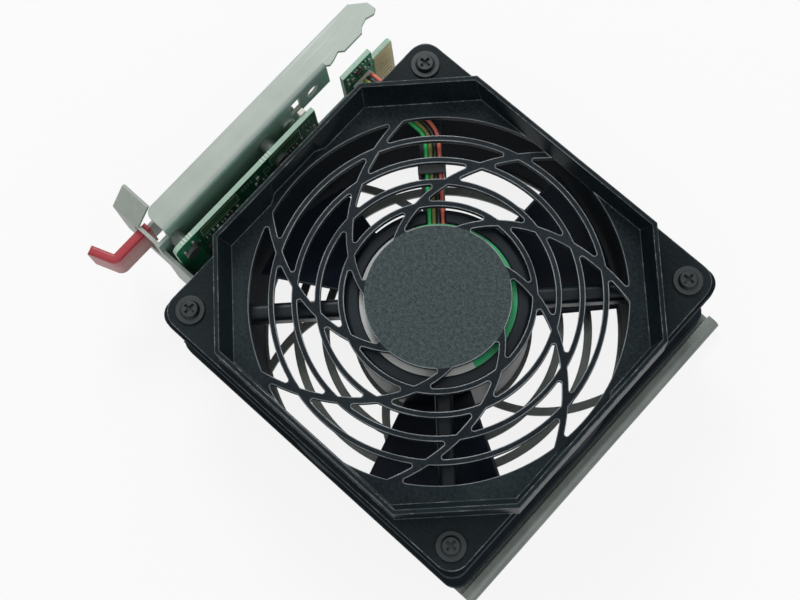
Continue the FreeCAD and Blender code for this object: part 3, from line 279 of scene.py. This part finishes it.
# ---- Finger guard ------------------------------------------------------------------------------------
# A separate black moulding with a fine matt grain, screwed over the fan: eight-sided collar, rings and
# spiral ribs round a blank disc. Its corners are rounded off, its edges carry painted highlights and its
# collar's edges pale nicks of wear, and the floor of its well a painted sheen.
def guard_finish():
    """Near black all over with a sandblasted grain, greyest on the disc, with a painted sheen on the well's
    floor, painted highlights along the edges and pale nicks of wear on the collar's edges.
    """
    well_half_x, well_half_y, well_corner = 0.0572, 0.0551, 0.0868
    ribs_outer, ribs_inner = 0.0585, 0.0560
    disc_radius = 0.0222
    finish = Finish("guard_plastic", (0.010, 0.014, 0.017), Specular_IOR_Level=0.10)
    across, along = abs(finish.along("X")), abs(finish.along("Y"))
    radius = (across * across + along * along) ** 0.5
    grain = finish.noise(2300.0, 3.0, 0.65)
    coarse = finish.noise(900.0, 2.0, 0.6)
    cloud = finish.noise(34.0, 3.0, 0.55)
    patch = finish.noise(130.0, 2.0, 0.6)
    well = (across < well_half_x) * (along < well_half_y) * (across + along < well_corner)
    ribs = finish.ramp(radius, ribs_outer, ribs_inner)
    disc = radius < disc_radius
    near_edge = finish.edge_mask(0.0007) ** 1.3
    scuffed = finish.ramp(finish.noise(150.0, 6.0, 0.85), 0.50, 0.62)
    # The broad cloud mixed into shade paints a mottled sheen of lamp light; the finer noises are the grain.
    shade = finish.ramp(cloud * 0.45 + coarse * 0.3 + grain * 0.25, 0.40, 0.60)
    ears = finish.blend(shade, (0.003, 0.007, 0.009), (0.014, 0.022, 0.025))
    # Painted sheen: the well's floor is painted lighter than the ears for the lamp light it reflects.
    floor = finish.blend(shade, (0.003, 0.008, 0.011), (0.026, 0.038, 0.042))
    rib_tone = finish.blend(shade, (0.005, 0.009, 0.013), (0.018, 0.026, 0.031))
    disc_tone = finish.blend(finish.ramp(grain * 0.6 + coarse * 0.4, 0.40, 0.60),
                             (0.030, 0.045, 0.048), (0.088, 0.115, 0.118))
    tone = finish.blend(well, ears, floor)
    tone = finish.blend(ribs, tone, rib_tone)
    tone = finish.blend(disc, tone, disc_tone)
    # Painted highlight: a bright line along the rib edges and a fainter one along the other edges, patchy
    # along their length.
    painted_edge_highlight = near_edge * (0.55 + 0.45 * finish.ramp(patch, 0.35, 0.60))
    tone = finish.blend(painted_edge_highlight * ribs, tone, (0.84, 0.90, 0.94))
    tone = finish.blend(painted_edge_highlight * (1.0 - ribs) * 0.6, tone, (0.30, 0.35, 0.37))
    tone = finish.blend(near_edge * scuffed * (1.0 - ribs) * 0.9, tone, (0.62, 0.66, 0.67))
    finish.feed(
        Base_Color=tone,
        Roughness=0.40 + well * 0.10 + disc * 0.08 + (cloud - 0.5) * 0.2,
        Normal=finish.bump(grain * 0.7 + coarse * 0.3, 0.30, 0.00007, finish.soft_edges(0.0004)))
    return finish


paint(guard_finish(), nodes["finger_guard"])


# ---- Fan frame and impeller --------------------------------------------------------------------------
# The frame is moulded in glass filled plastic, dull on its flanges and its duct. The blades and their hub
# are one smoother black moulding, pressed over the rotor's steel cup.
def black_moulding(name, colour, roughness, grain, edge, shine=0.16):
    """Black moulded plastic with spark-eroded grain and paler edges."""
    finish = Finish(name, colour, Specular_IOR_Level=shine)
    speckle = finish.noise(2600.0, 3.0, 0.6)
    cloud = finish.noise(45.0, 3.0, 0.55)
    near_edge = finish.edge_mask(edge)
    pale = [level * 4.0 + 0.06 for level in colour]
    dusty = [level * 1.7 + 0.003 for level in colour]
    base = finish.blend(finish.ramp(cloud, 0.42, 0.72) * 0.7, colour, dusty)
    finish.feed(
        Base_Color=finish.blend(near_edge * 0.6, base, pale),
        Roughness=roughness + (cloud - 0.5) * 0.18 - near_edge * 0.08,
        Normal=finish.bump(speckle, 0.35, grain, finish.soft_edges(edge)))
    return finish


def frame_finish():
    """Near black, dull on the flanges and the duct's wall, and smoother on the struts and the motor base."""
    duct_wall_radius = 0.0566
    finish = Finish("frame_plastic", (0.008, 0.013, 0.020), Specular_IOR_Level=0.20)
    across, along = finish.along("X"), finish.along("Y")
    within = (across * across + along * along) ** 0.5 < duct_wall_radius
    cloud = finish.noise(45.0, 3.0, 0.55)
    grain = finish.noise(2400.0, 3.0, 0.6)
    near_edge = finish.edge_mask(0.0006)
    tone = finish.blend(finish.ramp(cloud, 0.40, 0.68), (0.007, 0.012, 0.017), (0.016, 0.024, 0.031))
    finish.feed(
        Base_Color=finish.blend(near_edge * 0.6, tone, (0.10, 0.13, 0.15)),
        Roughness=0.95 - 0.62 * within + (cloud - 0.5) * 0.15,
        Normal=finish.bump(grain, 0.3, 0.00005, finish.soft_edges(0.0007)))
    return finish


paint(frame_finish(), nodes["fan_housing"])
blade_plastic = black_moulding("blade_plastic", (0.009, 0.014, 0.024), roughness=0.42, grain=0.00003,
                               edge=0.0003, shine=0.25)
paint(blade_plastic, nodes["impeller"])


# ---- Sheet steel -------------------------------------------------------------------------------------
# Tray and side bracket are stamped and folded from zinc plated sheet, the bracket welded on the tray's
# ledge. The tray has gone a dull olive grey. The bracket is paler, streaked and scratched from sliding.
def plated_sheet(name, light, dark, roughness, metallic, fan_side_painted_light=None):
    """Zinc plated sheet with rolling streaks, clouded plating and scratches along Y. The side turned to
    the fan may be given a painted tone, paler and greener, that stands in for the light reaching it."""
    finish = Finish(name, light, Specular_IOR_Level=0.35)
    cloud = finish.noise(60.0, 4.0, 0.6)
    streak = finish.noise(420.0, 3.0, 0.6, (1.0, 0.05, 1.0))
    speck = finish.noise(1500.0, 2.0, 0.7)
    scratch = finish.ramp(finish.noise(900.0, 2.0, 0.5, (1.0, 0.02, 1.0)), 0.66, 0.72)
    near_edge = finish.edge_mask(0.0004)
    shade = finish.ramp(cloud * 0.55 + streak * 0.3 + speck * 0.15, 0.36, 0.64)
    bright = [min(1.0, level * 1.35) for level in light]
    tone = finish.blend(shade, dark, light)
    if fan_side_painted_light:
        # Painted light: faces turned to +X, towards the fan, take a paler, greener tone for the light that
        # reaches them.
        shaded = [level * 0.75 for level in fan_side_painted_light]
        tone = finish.blend(finish.facing("X") > 0.5, tone, finish.blend(shade, shaded, fan_side_painted_light))
    finish.feed(
        Base_Color=finish.blend((scratch * 0.35).either(near_edge * 0.7), tone, bright),
        Roughness=roughness + (cloud - 0.5) * 0.2 + (streak - 0.5) * 0.15 - near_edge * 0.1,
        Metallic=metallic,
        Normal=finish.bump(streak * 0.6 + speck * 0.4, 0.18, 0.00005, finish.soft_edges(0.0003)))
    return finish


tray_steel = plated_sheet("tray_steel", (0.24, 0.27, 0.25), (0.13, 0.15, 0.14), roughness=0.42, metallic=0.40)
paint(tray_steel, nodes["tray"])
# The bracket's side turned to the fan is painted a paler, greener tone that stands in for light reaching it.
bracket_steel = plated_sheet("bracket_steel", (0.43, 0.48, 0.44), (0.33, 0.38, 0.34), roughness=0.50,
                             metallic=0.25, fan_side_painted_light=(0.42, 0.57, 0.53))
paint(bracket_steel, nodes["side_bracket"])


# ---- Screws, shaft and small steel -------------------------------------------------------------------
# The guard screws are black oxide steel with a cross in a washer head. Shaft, bearings and rivets are
# turned from bright steel, and the board's standoffs and screws are plated a dull zinc.
def turned_metal(name, colour, roughness, metallic=1.0):
    """Turned or drawn metal with a fine tooled grain and brighter edges."""
    finish = Finish(name, colour, Metallic=metallic)
    grain = finish.noise(1800.0, 2.0, 0.6)
    near_edge = finish.edge_mask(0.0003)
    bright = [min(1.0, level * 1.6 + 0.03) for level in colour]
    finish.feed(
        Base_Color=finish.blend(near_edge * 0.6, colour, bright),
        Roughness=roughness + (grain - 0.5) * 0.2,
        Normal=finish.bump(grain, 0.12, 0.00004, finish.soft_edges(0.00025)))
    return finish


oxide = turned_metal("black_oxide", (0.014, 0.020, 0.022), roughness=0.44, metallic=0.2)
paint(oxide, nodes["guard_screws"])
bright_steel = turned_metal("bright_steel", (0.56, 0.56, 0.54), roughness=0.30)
for name in ("bearing_tube", "bearing_rear", "bearing_front", "rotor_yoke", "rotor_shaft", "shaft_clip",
             "preload_washer", "latch_rivets", "stator_core"):
    paint(bright_steel, nodes[name])
dull_zinc = turned_metal("dull_zinc", (0.13, 0.15, 0.14), roughness=0.50, metallic=0.6)
paint(dull_zinc, nodes["board_standoffs"], nodes["board_screws"])
spring_steel = turned_metal("spring_steel", (0.30, 0.29, 0.28), roughness=0.38)
paint(spring_steel, nodes["latch_spring"])
copper = turned_metal("copper_wire", (0.62, 0.28, 0.14), roughness=0.35)
paint(copper, nodes["stator_coils"])
magnet_rubber = black_moulding("magnet_rubber", (0.022, 0.021, 0.022), roughness=0.7, grain=0.00004,
                               edge=0.0003)
paint(magnet_rubber, nodes["rotor_magnet"])


# ---- Label -------------------------------------------------------------------------------------------
# A round label of silver foil, glued inside the rim of the motor base. It is printed green on one side of
# a straight line and left bare on the other, and the guard's disc hides its middle.
def label_finish():
    """Silver foil, printed green beyond a line that runs across the label."""
    line_x, line_y = 0.423, 0.906
    line_start, line_end = 0.0018, 0.0021
    finish = Finish("label_foil", (0.6, 0.62, 0.6), Roughness=0.38)
    green = finish.ramp(finish.along("X") * line_x + finish.along("Y") * line_y, line_start, line_end)
    cloud = finish.noise(160.0, 3.0, 0.5)
    print_green = finish.blend(cloud, (0.01, 0.34, 0.11), (0.04, 0.52, 0.20))
    silver = finish.blend(cloud, (0.55, 0.58, 0.56), (0.72, 0.74, 0.72))
    finish.feed(Base_Color=finish.blend(green, silver, print_green))
    return finish


paint(label_finish(), nodes["hub_label"])


# ---- Control board -----------------------------------------------------------------------------------
# Glass laminate with copper tracks under green solder mask, sawn to shape so that its edge shows pale
# mint. It stands upright on four standoffs, and its gold contacts reach out behind.
def board_finish():
    """Green mask over fine tracks, with poured copper, brighter ends, a pale tongue and a sawn edge."""
    cells_per_metre, lines_per_cell = 95.0, 11.0
    pour_height, pour_half_height = 0.0374, 0.0031
    pours = ((-0.0245, 0.0080), (0.0048, 0.0067))
    rear_start, front_start, tongue_start = 0.0325, -0.0345, 0.0452
    finish = Finish("board_green", (0.02, 0.16, 0.08), Specular_IOR_Level=0.25)
    flat = abs(finish.facing("X")) > 0.5
    along, height = finish.along("Y"), finish.along("Z")
    speck = finish.noise(900.0, 2.0, 0.6)
    cell = finish.node("ShaderNodeTexVoronoi", {"feature": "F1", "distance": "CHEBYCHEV"},
                       Vector=finish.place, Scale=cells_per_metre)
    ripple = finish.node("ShaderNodeMath", {"operation": "FRACT"}, cell * lines_per_cell)
    track = finish.ramp(abs(ripple - 0.5), 0.20, 0.14)
    mask = finish.blend(track, (0.010, 0.13, 0.058), (0.022, 0.20, 0.095))
    beside = sum(abs(along - middle) < half_width for middle, half_width in pours)
    poured = (abs(height - pour_height) < pour_half_height) * beside
    mask = finish.blend(poured * 0.8, mask, (0.075, 0.23, 0.085))
    brighter = finish.blend(track, (0.012, 0.23, 0.10), (0.026, 0.32, 0.15))
    mask = finish.blend((along > rear_start).either(along < front_start), mask, brighter)
    mask = finish.blend(along > tongue_start, mask, (0.74, 0.76, 0.48))
    laminate = finish.blend(speck, (0.34, 0.52, 0.41), (0.50, 0.68, 0.56))
    finish.feed(
        Base_Color=finish.blend(flat, laminate, mask),
        Roughness=0.62 - 0.20 * flat,
        Normal=finish.bump(track, 0.3, 0.00005))
    return finish


board_green = board_finish()
paint(board_green, nodes["control_board"], nodes["motor_board"])
gold = turned_metal("contact_gold", (0.66, 0.53, 0.24), roughness=0.40, metallic=0.35)
paint(gold, nodes["edge_contacts"])


def plain_plastic(name, colour, roughness):
    """Small moulded parts and wire insulation: a soft skin with slight unevenness."""
    finish = Finish(name, colour)
    cloud = finish.noise(700.0, 2.0, 0.5)
    paler = [min(1.0, level * 1.25 + 0.01) for level in colour]
    finish.feed(
        Base_Color=finish.blend(cloud, colour, paler),
        Roughness=roughness + (cloud - 0.5) * 0.2,
        Normal=finish.soft_edges(0.0002))
    return finish


nylon = plain_plastic("connector_nylon", (0.70, 0.69, 0.62), roughness=0.5)
paint(nylon, nodes["board_header"], nodes["lead_plug"])
paint(plain_plastic("chip_black", (0.02, 0.02, 0.02), roughness=0.4), nodes["board_chips"])


# ---- Small parts on the control board ----------------------------------------------------------------
# Chip resistors and capacitors of black or brown ceramic with tinned ends, soldered flat to the side
# turned to the fan, with white printed outlines and test pads between them.
def add_block(shape, low, high, rounding=0.0):
    """A block between two corners given in millimetres, its edges rounded where asked."""
    size = [(far - near) / 1000 for near, far in zip(low, high)]
    middle = Vector([(far + near) / 2000 for near, far in zip(low, high)])
    place = Matrix.Translation(middle) @ Matrix.Diagonal((*size, 1.0))
    # A block is rounded in a mesh of its own: in a large one the order of the faces varies between runs.
    block = bmesh.new()
    bmesh.ops.create_cube(block, size=1.0, matrix=place)
    if rounding:
        bmesh.ops.bevel(block, geom=list(block.edges), offset=rounding / 1000, affect="EDGES", segments=2,
                        profile=0.5, material=-1)
    made = bpy.data.meshes.new("block")
    block.to_mesh(made)
    block.free()
    shape.from_mesh(made)
    bpy.data.meshes.remove(made)


def add_piece(name, shape, finish, body):
    """Make an object of a shape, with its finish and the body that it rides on."""
    mesh = bpy.data.meshes.new(name)
    shape.to_mesh(mesh)
    shape.free()
    piece = bpy.data.objects.new(name, mesh)
    bpy.context.scene.collection.objects.link(piece)
    paint(finish, piece)
    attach(piece, body)


board_low, board_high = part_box("control_board")
face, edge = board_high.x * 1000, board_high.z * 1000
chip_middles, chip_ends = bmesh.new(), bmesh.new()


def add_chip(along, up, length, width, upright):
    """One chip component: a ceramic body between two tinned ends, upright or lying along the board."""
    end, rounding = 0.3, 0.06
    for shape, first, last, thickness in (
            (chip_middles, -length / 2 + end, length / 2 - end, 0.50),
            (chip_ends, -length / 2, -length / 2 + end, 0.55),
            (chip_ends, length / 2 - end, length / 2, 0.55)):
        near, far = (-width / 2, first), (width / 2, last)
        if not upright:
            near, far = near[::-1], far[::-1]
        add_block(shape, (face, along + near[0], up + near[1]),
                  (face + thickness, along + far[0], up + far[1]), rounding)


SMALL, LARGE = (1.6, 0.8), (2.0, 1.2)
UPRIGHT, LYING = True, False
for along, up, size, stands in (
        (-40.2, 36.4, SMALL, UPRIGHT), (-38.6, 33.2, SMALL, LYING), (-36.4, 38.2, SMALL, UPRIGHT),
        (-35.0, 34.6, LARGE, LYING), (-31.0, 32.4, SMALL, LYING), (-28.6, 32.6, SMALL, UPRIGHT),
        (-26.8, 32.2, SMALL, UPRIGHT), (-24.2, 32.0, SMALL, LYING), (-21.4, 32.6, LARGE, LYING),
        (-18.0, 31.8, SMALL, UPRIGHT), (-9.2, 33.4, SMALL, UPRIGHT), (-8.0, 36.2, LARGE, UPRIGHT),
        (-5.6, 32.0, SMALL, LYING), (0.6, 32.2, SMALL, UPRIGHT), (2.4, 32.2, SMALL, UPRIGHT),
        (5.4, 32.6, SMALL, LYING), (8.2, 32.4, LARGE, LYING), (11.4, 32.8, SMALL, UPRIGHT),
        (14.8, 34.6, SMALL, LYING), (17.0, 32.6, SMALL, UPRIGHT), (33.6, 39.2, SMALL, UPRIGHT),
        (33.8, 35.6, SMALL, UPRIGHT), (36.0, 40.4, SMALL, LYING), (35.6, 36.2, LARGE, UPRIGHT),
        (38.4, 40.2, SMALL, LYING), (41.0, 40.6, SMALL, LYING), (41.2, 36.0, SMALL, UPRIGHT),
        (43.2, 38.6, SMALL, UPRIGHT), (43.0, 34.8, SMALL, LYING), (39.0, 35.0, SMALL, LYING)):
    add_chip(along, up, *size, stands)

# A driver chip on the upper corner, with three legs a side.
add_block(chip_middles, (face + 0.1, 37.0, 37.2), (face + 1.2, 39.6, 39.0), 0.12)
for leg in (37.3, 38.3, 39.3):
    add_block(chip_ends, (face, leg - 0.2, 36.6), (face + 0.3, leg + 0.2, 37.3))
    add_block(chip_ends, (face, leg - 0.2, 38.9), (face + 0.3, leg + 0.2, 39.6))
ceramic = plain_plastic("chip_ceramic", (0.030, 0.024, 0.022), roughness=0.4)
add_piece("board_chip_bodies", chip_middles, ceramic, "root")
tinned = turned_metal("tinned_ends", (0.62, 0.63, 0.62), roughness=0.35, metallic=0.8)
add_piece("board_chip_ends", chip_ends, tinned, "root")

# White printed outlines round three parts of the board, and a row of test pads in two lines.
printed = bmesh.new()
ink, line, pad = 0.04, 0.25, 0.55
for left, right, low, high in (
        (-32.5, -16.5, 34.3, 40.5), (-1.9, 11.5, 34.3, 40.5), (-5.2, -2.8, 33.6, 36.8)):
    for corner_low, corner_high in (
            ((left, low), (right, low + line)),
            ((left, high - line), (right, high)),
            ((left, low), (left + line, high)),
            ((right - line, low), (right, high))):
        add_block(printed, (face, *corner_low), (face + ink, *corner_high))
for along in (-14.6, -13.3, -12.0, -10.7, 12.9, 14.2, 15.5):
    for up in (38.6, 37.0):
        add_block(printed, (face, along, up), (face + ink, along + pad, up + pad))
white_ink = plain_plastic("board_ink", (0.62, 0.66, 0.58), roughness=0.7)
add_piece("board_print", printed, white_ink, "root")

# The stubs where the board was snapped out of its panel, and a white spacer tab on the back of its edge.
board_gauge = (board_high.x - board_low.x) * 1000
stubs = bmesh.new()
for along in (-39.4, -38.2, -37.0, -35.8, -4.4, -3.2, -2.0, -0.8):
    add_block(stubs, (face - board_gauge, along, edge - 0.1), (face, along + 0.45, edge + 0.22))
sawn_laminate = plain_plastic("sawn_laminate", (0.62, 0.72, 0.62), roughness=0.7)
add_piece("board_stubs", stubs, sawn_laminate, "root")
tab = bmesh.new()
add_block(tab, (face - 3.4, 14.6, edge - 4.0), (face - board_gauge, 16.9, edge + 0.5), 0.25)
add_piece("board_tab", tab, nylon, "root")


# ---- Leads -------------------------------------------------------------------------------------------
# Four thin stranded leads in coloured PVC, soldered to the driver board, laid along the thick strut under
# a grey moulded clip and crimped into the plug on the control board.
LEAD_COLOURS = {
    "lead_green": (0.04, 0.58, 0.16),
    "lead_yellow": (0.22, 0.23, 0.06),
    "lead_black": (0.012, 0.013, 0.015),
    "lead_red": (0.72, 0.17, 0.12),
}
for name, colour in LEAD_COLOURS.items():
    paint(plain_plastic(name + "_pvc", colour, roughness=0.35), nodes[name])
paint(plain_plastic("clip_grey", (0.05, 0.055, 0.06), roughness=0.5), nodes["lead_clip"])


# ---- Release handle ----------------------------------------------------------------------------------
# A sleeve of red vinyl, dipped over the end of the latch strip as its handle. It is deep red and glossy
# along its top edge, and paler, pinker and rougher lower down.
def sleeve_vinyl():
    """Red vinyl, paler and pinker below a ragged line."""
    red_above, pale_pink_below = 0.0336, 0.0280
    finish = Finish("sleeve_vinyl", (0.55, 0.03, 0.035), Coat_Weight=0.15, Coat_Roughness=0.3)
    cloud = finish.noise(120.0, 3.0, 0.5)
    dust = finish.noise(700.0, 2.0, 0.6)
    red = finish.blend(cloud, (0.33, 0.012, 0.024), (0.47, 0.030, 0.046))
    pale_pink = finish.blend(cloud, (0.44, 0.21, 0.20), (0.56, 0.36, 0.34))
    below_line = finish.ramp(finish.along("Z") + (cloud - 0.5) * 0.003, red_above, pale_pink_below)
    finish.feed(
        Base_Color=finish.blend(below_line * 0.85, red, pale_pink),
        Roughness=0.40 + (dust - 0.5) * 0.16 + below_line * 0.2,
        Normal=finish.bump(dust, 0.1, 0.00005, finish.soft_edges(0.0008)))
    return finish


paint(sleeve_vinyl(), nodes["latch_handle"])
